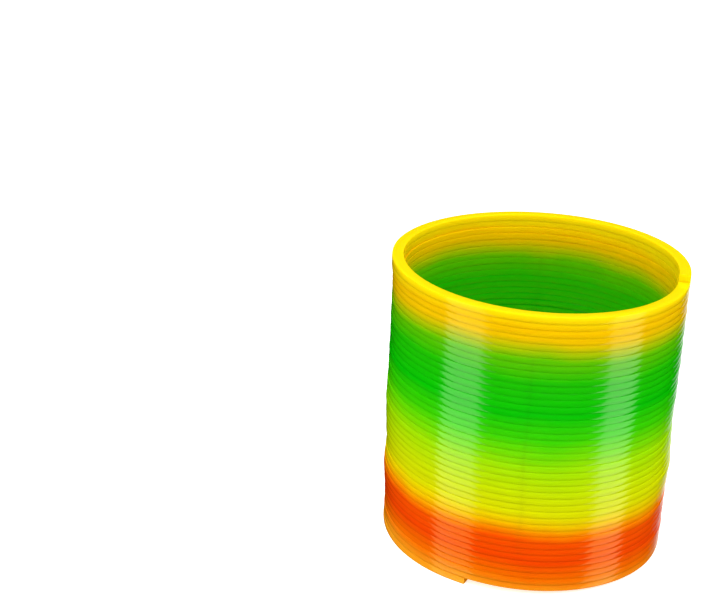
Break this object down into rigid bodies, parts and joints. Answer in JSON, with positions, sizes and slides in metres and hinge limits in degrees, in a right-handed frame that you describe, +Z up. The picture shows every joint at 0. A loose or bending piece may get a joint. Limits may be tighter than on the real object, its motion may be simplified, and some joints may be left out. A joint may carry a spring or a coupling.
{
  "type": "spring coil toy",
  "caption": "Closed spring coil toy of flat glossy rainbow-coloured plastic strip that arches, walks and stretches.",
  "frame": {"origin": "middle of the coil's foot, on the coil's axis, at the height of the surface that it stands on", "axes": "+Z up along the coil's axis, -Y towards the front, where the strip steps from turn to turn; +X to the right seen from the front"},
  "size_m": [0.075, 0.075, 0.076],
  "materials": {
    "strip_orange": "moulded gloss plastic, translucent, coloured in soft bands along the strip",
    "strip_red_orange": "moulded gloss plastic, translucent, coloured in soft bands along the strip",
    "strip_yellow": "moulded gloss plastic, translucent, coloured in soft bands along the strip",
    "strip_yellow_green": "moulded gloss plastic, translucent, coloured in soft bands along the strip",
    "strip_lime": "moulded gloss plastic, translucent, coloured in soft bands along the strip",
    "strip_light_green": "moulded gloss plastic, translucent, coloured in soft bands along the strip",
    "strip_green": "moulded gloss plastic, translucent, coloured in soft bands along the strip",
    "strip_gold": "moulded gloss plastic, translucent, coloured in soft bands along the strip"
  },
  "bodies": {
    "foot_stack": {"foot_stack": "strip_orange"},
    "turn_01_back": {"turn_01_back": "strip_red_orange"},
    "turn_01_front": {"turn_01_front": "strip_red_orange"},
    "turn_02_back": {"turn_02_back": "strip_red_orange"},
    "turn_02_front": {"turn_02_front": "strip_red_orange"},
    "turn_03_back": {"turn_03_back": "strip_red_orange"},
    "turn_03_front": {"turn_03_front": "strip_red_orange"},
    "turn_04_back": {"turn_04_back": "strip_yellow"},
    "turn_04_front": {"turn_04_front": "strip_yellow"},
    "turn_05_back": {"turn_05_back": "strip_yellow"},
    "turn_05_front": {"turn_05_front": "strip_yellow"},
    "turn_06_back": {"turn_06_back": "strip_yellow"},
    "turn_06_front": {"turn_06_front": "strip_yellow"},
    "turn_07_back": {"turn_07_back": "strip_yellow"},
    "turn_07_front": {"turn_07_front": "strip_yellow"},
    "turn_08_back": {"turn_08_back": "strip_yellow_green"},
    "turn_08_front": {"turn_08_front": "strip_yellow_green"},
    "turn_09_back": {"turn_09_back": "strip_yellow_green"},
    "turn_09_front": {"turn_09_front": "strip_yellow_green"},
    "turn_10_back": {"turn_10_back": "strip_yellow_green"},
    "turn_10_front": {"turn_10_front": "strip_yellow_green"},
    "turn_11_back": {"turn_11_back": "strip_yellow_green"},
    "turn_11_front": {"turn_11_front": "strip_yellow_green"},
    "turn_12_back": {"turn_12_back": "strip_yellow_green"},
    "turn_12_front": {"turn_12_front": "strip_yellow_green"},
    "turn_13_back": {"turn_13_back": "strip_lime"},
    "turn_13_front": {"turn_13_front": "strip_lime"},
    "turn_14_back": {"turn_14_back": "strip_lime"},
    "turn_14_front": {"turn_14_front": "strip_lime"},
    "turn_15_back": {"turn_15_back": "strip_lime"},
    "turn_15_front": {"turn_15_front": "strip_lime"},
    "turn_16_back": {"turn_16_back": "strip_lime"},
    "turn_16_front": {"turn_16_front": "strip_lime"},
    "turn_17_back": {"turn_17_back": "strip_light_green"},
    "turn_17_front": {"turn_17_front": "strip_light_green"},
    "turn_18_back": {"turn_18_back": "strip_light_green"},
    "turn_18_front": {"turn_18_front": "strip_light_green"},
    "turn_19_back": {"turn_19_back": "strip_light_green"},
    "turn_19_front": {"turn_19_front": "strip_light_green"},
    "turn_20_back": {"turn_20_back": "strip_light_green"},
    "turn_20_front": {"turn_20_front": "strip_light_green"},
    "turn_21_back": {"turn_21_back": "strip_green"},
    "turn_21_front": {"turn_21_front": "strip_green"},
    "turn_22_back": {"turn_22_back": "strip_green"},
    "turn_22_front": {"turn_22_front": "strip_green"},
    "turn_23_back": {"turn_23_back": "strip_green"},
    "turn_23_front": {"turn_23_front": "strip_green"},
    "turn_24_back": {"turn_24_back": "strip_green"},
    "turn_24_front": {"turn_24_front": "strip_green"},
    "turn_25_back": {"turn_25_back": "strip_green"},
    "turn_25_front": {"turn_25_front": "strip_green"},
    "turn_26_back": {"turn_26_back": "strip_green"},
    "turn_26_front": {"turn_26_front": "strip_green"},
    "turn_27_back": {"turn_27_back": "strip_green"},
    "turn_27_front": {"turn_27_front": "strip_green"},
    "turn_28_back": {"turn_28_back": "strip_green"},
    "turn_28_front": {"turn_28_front": "strip_green"},
    "turn_29_back": {"turn_29_back": "strip_green"},
    "turn_29_front": {"turn_29_front": "strip_green"},
    "rim_stack": {"rim_stack": "strip_gold"}
  },
  "joints": [
    {"name": "twist_left_01", "type": "hinge", "parent": "foot_stack", "child": "turn_01_back", "pos_m": [-0.037, 0, 0.01234], "axis": [0, -1, 0], "range_deg": [0, 3.1], "stiffness_Nm_per_rad": 0.05},
    {"name": "twist_right_01", "type": "hinge", "parent": "turn_01_back", "child": "turn_01_front", "pos_m": [0.037, 0, 0.0141], "axis": [0, 1, 0], "range_deg": [0, 6.21], "stiffness_Nm_per_rad": 0.05},
    {"name": "twist_left_02", "type": "hinge", "parent": "turn_01_front", "child": "turn_02_back", "pos_m": [-0.037, 0, 0.0141], "axis": [0, -1, 0], "range_deg": [0, 6.21], "stiffness_Nm_per_rad": 0.05},
    {"name": "twist_right_02", "type": "hinge", "parent": "turn_02_back", "child": "turn_02_front", "pos_m": [0.037, 0, 0.01588], "axis": [0, 1, 0], "range_deg": [0, 6.21], "stiffness_Nm_per_rad": 0.05},
    {"name": "twist_left_03", "type": "hinge", "parent": "turn_02_front", "child": "turn_03_back", "pos_m": [-0.037, 0, 0.01588], "axis": [0, -1, 0], "range_deg": [0, 6.21], "stiffness_Nm_per_rad": 0.05},
    {"name": "twist_right_03", "type": "hinge", "parent": "turn_03_back", "child": "turn_03_front", "pos_m": [0.037, 0, 0.01765], "axis": [0, 1, 0], "range_deg": [0, 6.21], "stiffness_Nm_per_rad": 0.05},
    {"name": "twist_left_04", "type": "hinge", "parent": "turn_03_front", "child": "turn_04_back", "pos_m": [-0.037, 0, 0.01765], "axis": [0, -1, 0], "range_deg": [0, 6.21], "stiffness_Nm_per_rad": 0.05},
    {"name": "twist_right_04", "type": "hinge", "parent": "turn_04_back", "child": "turn_04_front", "pos_m": [0.037, 0, 0.01942], "axis": [0, 1, 0], "range_deg": [0, 6.21], "stiffness_Nm_per_rad": 0.05},
    {"name": "twist_left_05", "type": "hinge", "parent": "turn_04_front", "child": "turn_05_back", "pos_m": [-0.037, 0, 0.01942], "axis": [0, -1, 0], "range_deg": [0, 6.21], "stiffness_Nm_per_rad": 0.05},
    {"name": "twist_right_05", "type": "hinge", "parent": "turn_05_back", "child": "turn_05_front", "pos_m": [0.037, 0, 0.02118], "axis": [0, 1, 0], "range_deg": [0, 6.21], "stiffness_Nm_per_rad": 0.05},
    {"name": "twist_left_06", "type": "hinge", "parent": "turn_05_front", "child": "turn_06_back", "pos_m": [-0.037, 0, 0.02118], "axis": [0, -1, 0], "range_deg": [0, 6.21], "stiffness_Nm_per_rad": 0.05},
    {"name": "twist_right_06", "type": "hinge", "parent": "turn_06_back", "child": "turn_06_front", "pos_m": [0.037, 0, 0.02295], "axis": [0, 1, 0], "range_deg": [0, 6.21], "stiffness_Nm_per_rad": 0.05},
    {"name": "twist_left_07", "type": "hinge", "parent": "turn_06_front", "child": "turn_07_back", "pos_m": [-0.037, 0, 0.02295], "axis": [0, -1, 0], "range_deg": [0, 6.21], "stiffness_Nm_per_rad": 0.05},
    {"name": "twist_right_07", "type": "hinge", "parent": "turn_07_back", "child": "turn_07_front", "pos_m": [0.037, 0, 0.02473], "axis": [0, 1, 0], "range_deg": [0, 6.21], "stiffness_Nm_per_rad": 0.05},
    {"name": "twist_left_08", "type": "hinge", "parent": "turn_07_front", "child": "turn_08_back", "pos_m": [-0.037, 0, 0.02473], "axis": [0, -1, 0], "range_deg": [0, 6.21], "stiffness_Nm_per_rad": 0.05},
    {"name": "twist_right_08", "type": "hinge", "parent": "turn_08_back", "child": "turn_08_front", "pos_m": [0.037, 0, 0.0265], "axis": [0, 1, 0], "range_deg": [0, 6.21], "stiffness_Nm_per_rad": 0.05},
    {"name": "twist_left_09", "type": "hinge", "parent": "turn_08_front", "child": "turn_09_back", "pos_m": [-0.037, 0, 0.0265], "axis": [0, -1, 0], "range_deg": [0, 6.21], "stiffness_Nm_per_rad": 0.05},
    {"name": "twist_right_09", "type": "hinge", "parent": "turn_09_back", "child": "turn_09_front", "pos_m": [0.037, 0, 0.02826], "axis": [0, 1, 0], "range_deg": [0, 6.21], "stiffness_Nm_per_rad": 0.05},
    {"name": "twist_left_10", "type": "hinge", "parent": "turn_09_front", "child": "turn_10_back", "pos_m": [-0.037, 0, 0.02826], "axis": [0, -1, 0], "range_deg": [0, 6.21], "stiffness_Nm_per_rad": 0.05},
    {"name": "twist_right_10", "type": "hinge", "parent": "turn_10_back", "child": "turn_10_front", "pos_m": [0.037, 0, 0.03003], "axis": [0, 1, 0], "range_deg": [0, 6.21], "stiffness_Nm_per_rad": 0.05},
    {"name": "twist_left_11", "type": "hinge", "parent": "turn_10_front", "child": "turn_11_back", "pos_m": [-0.037, 0, 0.03003], "axis": [0, -1, 0], "range_deg": [0, 6.21], "stiffness_Nm_per_rad": 0.05},
    {"name": "twist_right_11", "type": "hinge", "parent": "turn_11_back", "child": "turn_11_front", "pos_m": [0.037, 0, 0.0318], "axis": [0, 1, 0], "range_deg": [0, 6.21], "stiffness_Nm_per_rad": 0.05},
    {"name": "twist_left_12", "type": "hinge", "parent": "turn_11_front", "child": "turn_12_back", "pos_m": [-0.037, 0, 0.0318], "axis": [0, -1, 0], "range_deg": [0, 6.21], "stiffness_Nm_per_rad": 0.05},
    {"name": "twist_right_12", "type": "hinge", "parent": "turn_12_back", "child": "turn_12_front", "pos_m": [0.037, 0, 0.03358], "axis": [0, 1, 0], "range_deg": [0, 6.21], "stiffness_Nm_per_rad": 0.05},
    {"name": "twist_left_13", "type": "hinge", "parent": "turn_12_front", "child": "turn_13_back", "pos_m": [-0.037, 0, 0.03358], "axis": [0, -1, 0], "range_deg": [0, 6.21], "stiffness_Nm_per_rad": 0.05},
    {"name": "twist_right_13", "type": "hinge", "parent": "turn_13_back", "child": "turn_13_front", "pos_m": [0.037, 0, 0.03535], "axis": [0, 1, 0], "range_deg": [0, 6.21], "stiffness_Nm_per_rad": 0.05},
    {"name": "twist_left_14", "type": "hinge", "parent": "turn_13_front", "child": "turn_14_back", "pos_m": [-0.037, 0, 0.03535], "axis": [0, -1, 0], "range_deg": [0, 6.21], "stiffness_Nm_per_rad": 0.05},
    {"name": "twist_right_14", "type": "hinge", "parent": "turn_14_back", "child": "turn_14_front", "pos_m": [0.037, 0, 0.03712], "axis": [0, 1, 0], "range_deg": [0, 6.21], "stiffness_Nm_per_rad": 0.05},
    {"name": "twist_left_15", "type": "hinge", "parent": "turn_14_front", "child": "turn_15_back", "pos_m": [-0.037, 0, 0.03712], "axis": [0, -1, 0], "range_deg": [0, 6.21], "stiffness_Nm_per_rad": 0.05},
    {"name": "twist_right_15", "type": "hinge", "parent": "turn_15_back", "child": "turn_15_front", "pos_m": [0.037, 0, 0.03889], "axis": [0, 1, 0], "range_deg": [0, 6.21], "stiffness_Nm_per_rad": 0.05},
    {"name": "twist_left_16", "type": "hinge", "parent": "turn_15_front", "child": "turn_16_back", "pos_m": [-0.037, 0, 0.03889], "axis": [0, -1, 0], "range_deg": [0, 6.21], "stiffness_Nm_per_rad": 0.05},
    {"name": "twist_right_16", "type": "hinge", "parent": "turn_16_back", "child": "turn_16_front", "pos_m": [0.037, 0, 0.04065], "axis": [0, 1, 0], "range_deg": [0, 6.21], "stiffness_Nm_per_rad": 0.05},
    {"name": "twist_left_17", "type": "hinge", "parent": "turn_16_front", "child": "turn_17_back", "pos_m": [-0.037, 0, 0.04065], "axis": [0, -1, 0], "range_deg": [0, 6.21], "stiffness_Nm_per_rad": 0.05},
    {"name": "twist_right_17", "type": "hinge", "parent": "turn_17_back", "child": "turn_17_front", "pos_m": [0.037, 0, 0.04242], "axis": [0, 1, 0], "range_deg": [0, 6.21], "stiffness_Nm_per_rad": 0.05},
    {"name": "twist_left_18", "type": "hinge", "parent": "turn_17_front", "child": "turn_18_back", "pos_m": [-0.037, 0, 0.04242], "axis": [0, -1, 0], "range_deg": [0, 6.21], "stiffness_Nm_per_rad": 0.05},
    {"name": "twist_right_18", "type": "hinge", "parent": "turn_18_back", "child": "turn_18_front", "pos_m": [0.037, 0, 0.04419], "axis": [0, 1, 0], "range_deg": [0, 6.21], "stiffness_Nm_per_rad": 0.05},
    {"name": "twist_left_19", "type": "hinge", "parent": "turn_18_front", "child": "turn_19_back", "pos_m": [-0.037, 0, 0.04419], "axis": [0, -1, 0], "range_deg": [0, 6.21], "stiffness_Nm_per_rad": 0.05},
    {"name": "twist_right_19", "type": "hinge", "parent": "turn_19_back", "child": "turn_19_front", "pos_m": [0.037, 0, 0.04596], "axis": [0, 1, 0], "range_deg": [0, 6.21], "stiffness_Nm_per_rad": 0.05},
    {"name": "twist_left_20", "type": "hinge", "parent": "turn_19_front", "child": "turn_20_back", "pos_m": [-0.037, 0, 0.04596], "axis": [0, -1, 0], "range_deg": [0, 6.21], "stiffness_Nm_per_rad": 0.05},
    {"name": "twist_right_20", "type": "hinge", "parent": "turn_20_back", "child": "turn_20_front", "pos_m": [0.037, 0, 0.04773], "axis": [0, 1, 0], "range_deg": [0, 6.21], "stiffness_Nm_per_rad": 0.05},
    {"name": "twist_left_21", "type": "hinge", "parent": "turn_20_front", "child": "turn_21_back", "pos_m": [-0.037, 0, 0.04773], "axis": [0, -1, 0], "range_deg": [0, 6.21], "stiffness_Nm_per_rad": 0.05},
    {"name": "twist_right_21", "type": "hinge", "parent": "turn_21_back", "child": "turn_21_front", "pos_m": [0.037, 0, 0.04951], "axis": [0, 1, 0], "range_deg": [0, 6.21], "stiffness_Nm_per_rad": 0.05},
    {"name": "twist_left_22", "type": "hinge", "parent": "turn_21_front", "child": "turn_22_back", "pos_m": [-0.037, 0, 0.04951], "axis": [0, -1, 0], "range_deg": [0, 6.21], "stiffness_Nm_per_rad": 0.05},
    {"name": "twist_right_22", "type": "hinge", "parent": "turn_22_back", "child": "turn_22_front", "pos_m": [0.037, 0, 0.05128], "axis": [0, 1, 0], "range_deg": [0, 6.21], "stiffness_Nm_per_rad": 0.05},
    {"name": "twist_left_23", "type": "hinge", "parent": "turn_22_front", "child": "turn_23_back", "pos_m": [-0.037, 0, 0.05128], "axis": [0, -1, 0], "range_deg": [0, 6.21], "stiffness_Nm_per_rad": 0.05},
    {"name": "twist_right_23", "type": "hinge", "parent": "turn_23_back", "child": "turn_23_front", "pos_m": [0.037, 0, 0.05305], "axis": [0, 1, 0], "range_deg": [0, 6.21], "stiffness_Nm_per_rad": 0.05},
    {"name": "twist_left_24", "type": "hinge", "parent": "turn_23_front", "child": "turn_24_back", "pos_m": [-0.037, 0, 0.05305], "axis": [0, -1, 0], "range_deg": [0, 6.21], "stiffness_Nm_per_rad": 0.05},
    {"name": "twist_right_24", "type": "hinge", "parent": "turn_24_back", "child": "turn_24_front", "pos_m": [0.037, 0, 0.05482], "axis": [0, 1, 0], "range_deg": [0, 6.21], "stiffness_Nm_per_rad": 0.05},
    {"name": "twist_left_25", "type": "hinge", "parent": "turn_24_front", "child": "turn_25_back", "pos_m": [-0.037, 0, 0.05482], "axis": [0, -1, 0], "range_deg": [0, 6.21], "stiffness_Nm_per_rad": 0.05},
    {"name": "twist_right_25", "type": "hinge", "parent": "turn_25_back", "child": "turn_25_front", "pos_m": [0.037, 0, 0.05659], "axis": [0, 1, 0], "range_deg": [0, 6.21], "stiffness_Nm_per_rad": 0.05},
    {"name": "twist_left_26", "type": "hinge", "parent": "turn_25_front", "child": "turn_26_back", "pos_m": [-0.037, 0, 0.05659], "axis": [0, -1, 0], "range_deg": [0, 6.21], "stiffness_Nm_per_rad": 0.05},
    {"name": "twist_right_26", "type": "hinge", "parent": "turn_26_back", "child": "turn_26_front", "pos_m": [0.037, 0, 0.05835], "axis": [0, 1, 0], "range_deg": [0, 6.21], "stiffness_Nm_per_rad": 0.05},
    {"name": "twist_left_27", "type": "hinge", "parent": "turn_26_front", "child": "turn_27_back", "pos_m": [-0.037, 0, 0.05835], "axis": [0, -1, 0], "range_deg": [0, 6.21], "stiffness_Nm_per_rad": 0.05},
    {"name": "twist_right_27", "type": "hinge", "parent": "turn_27_back", "child": "turn_27_front", "pos_m": [0.037, 0, 0.06012], "axis": [0, 1, 0], "range_deg": [0, 6.21], "stiffness_Nm_per_rad": 0.05},
    {"name": "twist_left_28", "type": "hinge", "parent": "turn_27_front", "child": "turn_28_back", "pos_m": [-0.037, 0, 0.06012], "axis": [0, -1, 0], "range_deg": [0, 6.21], "stiffness_Nm_per_rad": 0.05},
    {"name": "twist_right_28", "type": "hinge", "parent": "turn_28_back", "child": "turn_28_front", "pos_m": [0.037, 0, 0.06189], "axis": [0, 1, 0], "range_deg": [0, 6.21], "stiffness_Nm_per_rad": 0.05},
    {"name": "twist_left_29", "type": "hinge", "parent": "turn_28_front", "child": "turn_29_back", "pos_m": [-0.037, 0, 0.06189], "axis": [0, -1, 0], "range_deg": [0, 6.21], "stiffness_Nm_per_rad": 0.05},
    {"name": "twist_right_29", "type": "hinge", "parent": "turn_29_back", "child": "turn_29_front", "pos_m": [0.037, 0, 0.06366], "axis": [0, 1, 0], "range_deg": [0, 6.21], "stiffness_Nm_per_rad": 0.05},
    {"name": "twist_left_30", "type": "hinge", "parent": "turn_29_front", "child": "rim_stack", "pos_m": [-0.037, 0, 0.06366], "axis": [0, -1, 0], "range_deg": [0, 3.1], "stiffness_Nm_per_rad": 0.05}
  ],
  "couplings": [
    {"joint": "twist_left_01", "follows": "twist_left_02", "ratio": 0.5},
    {"joint": "twist_right_02", "follows": "twist_right_01", "ratio": 1},
    {"joint": "twist_left_03", "follows": "twist_left_02", "ratio": 1},
    {"joint": "twist_right_03", "follows": "twist_right_01", "ratio": 1},
    {"joint": "twist_left_04", "follows": "twist_left_02", "ratio": 1},
    {"joint": "twist_right_04", "follows": "twist_right_01", "ratio": 1},
    {"joint": "twist_left_05", "follows": "twist_left_02", "ratio": 1},
    {"joint": "twist_right_05", "follows": "twist_right_01", "ratio": 1},
    {"joint": "twist_left_06", "follows": "twist_left_02", "ratio": 1},
    {"joint": "twist_right_06", "follows": "twist_right_01", "ratio": 1},
    {"joint": "twist_left_07", "follows": "twist_left_02", "ratio": 1},
    {"joint": "twist_right_07", "follows": "twist_right_01", "ratio": 1},
    {"joint": "twist_left_08", "follows": "twist_left_02", "ratio": 1},
    {"joint": "twist_right_08", "follows": "twist_right_01", "ratio": 1},
    {"joint": "twist_left_09", "follows": "twist_left_02", "ratio": 1},
    {"joint": "twist_right_09", "follows": "twist_right_01", "ratio": 1},
    {"joint": "twist_left_10", "follows": "twist_left_02", "ratio": 1},
    {"joint": "twist_right_10", "follows": "twist_right_01", "ratio": 1},
    {"joint": "twist_left_11", "follows": "twist_left_02", "ratio": 1},
    {"joint": "twist_right_11", "follows": "twist_right_01", "ratio": 1},
    {"joint": "twist_left_12", "follows": "twist_left_02", "ratio": 1},
    {"joint": "twist_right_12", "follows": "twist_right_01", "ratio": 1},
    {"joint": "twist_left_13", "follows": "twist_left_02", "ratio": 1},
    {"joint": "twist_right_13", "follows": "twist_right_01", "ratio": 1},
    {"joint": "twist_left_14", "follows": "twist_left_02", "ratio": 1},
    {"joint": "twist_right_14", "follows": "twist_right_01", "ratio": 1},
    {"joint": "twist_left_15", "follows": "twist_left_02", "ratio": 1},
    {"joint": "twist_right_15", "follows": "twist_right_01", "ratio": 1},
    {"joint": "twist_left_16", "follows": "twist_left_02", "ratio": 1},
    {"joint": "twist_right_16", "follows": "twist_right_01", "ratio": 1},
    {"joint": "twist_left_17", "follows": "twist_left_02", "ratio": 1},
    {"joint": "twist_right_17", "follows": "twist_right_01", "ratio": 1},
    {"joint": "twist_left_18", "follows": "twist_left_02", "ratio": 1},
    {"joint": "twist_right_18", "follows": "twist_right_01", "ratio": 1},
    {"joint": "twist_left_19", "follows": "twist_left_02", "ratio": 1},
    {"joint": "twist_right_19", "follows": "twist_right_01", "ratio": 1},
    {"joint": "twist_left_20", "follows": "twist_left_02", "ratio": 1},
    {"joint": "twist_right_20", "follows": "twist_right_01", "ratio": 1},
    {"joint": "twist_left_21", "follows": "twist_left_02", "ratio": 1},
    {"joint": "twist_right_21", "follows": "twist_right_01", "ratio": 1},
    {"joint": "twist_left_22", "follows": "twist_left_02", "ratio": 1},
    {"joint": "twist_right_22", "follows": "twist_right_01", "ratio": 1},
    {"joint": "twist_left_23", "follows": "twist_left_02", "ratio": 1},
    {"joint": "twist_right_23", "follows": "twist_right_01", "ratio": 1},
    {"joint": "twist_left_24", "follows": "twist_left_02", "ratio": 1},
    {"joint": "twist_right_24", "follows": "twist_right_01", "ratio": 1},
    {"joint": "twist_left_25", "follows": "twist_left_02", "ratio": 1},
    {"joint": "twist_right_25", "follows": "twist_right_01", "ratio": 1},
    {"joint": "twist_left_26", "follows": "twist_left_02", "ratio": 1},
    {"joint": "twist_right_26", "follows": "twist_right_01", "ratio": 1},
    {"joint": "twist_left_27", "follows": "twist_left_02", "ratio": 1},
    {"joint": "twist_right_27", "follows": "twist_right_01", "ratio": 1},
    {"joint": "twist_left_28", "follows": "twist_left_02", "ratio": 1},
    {"joint": "twist_right_28", "follows": "twist_right_01", "ratio": 1},
    {"joint": "twist_left_29", "follows": "twist_left_02", "ratio": 1},
    {"joint": "twist_right_29", "follows": "twist_right_01", "ratio": 1},
    {"joint": "twist_left_30", "follows": "twist_left_02", "ratio": 0.5}
  ]
}
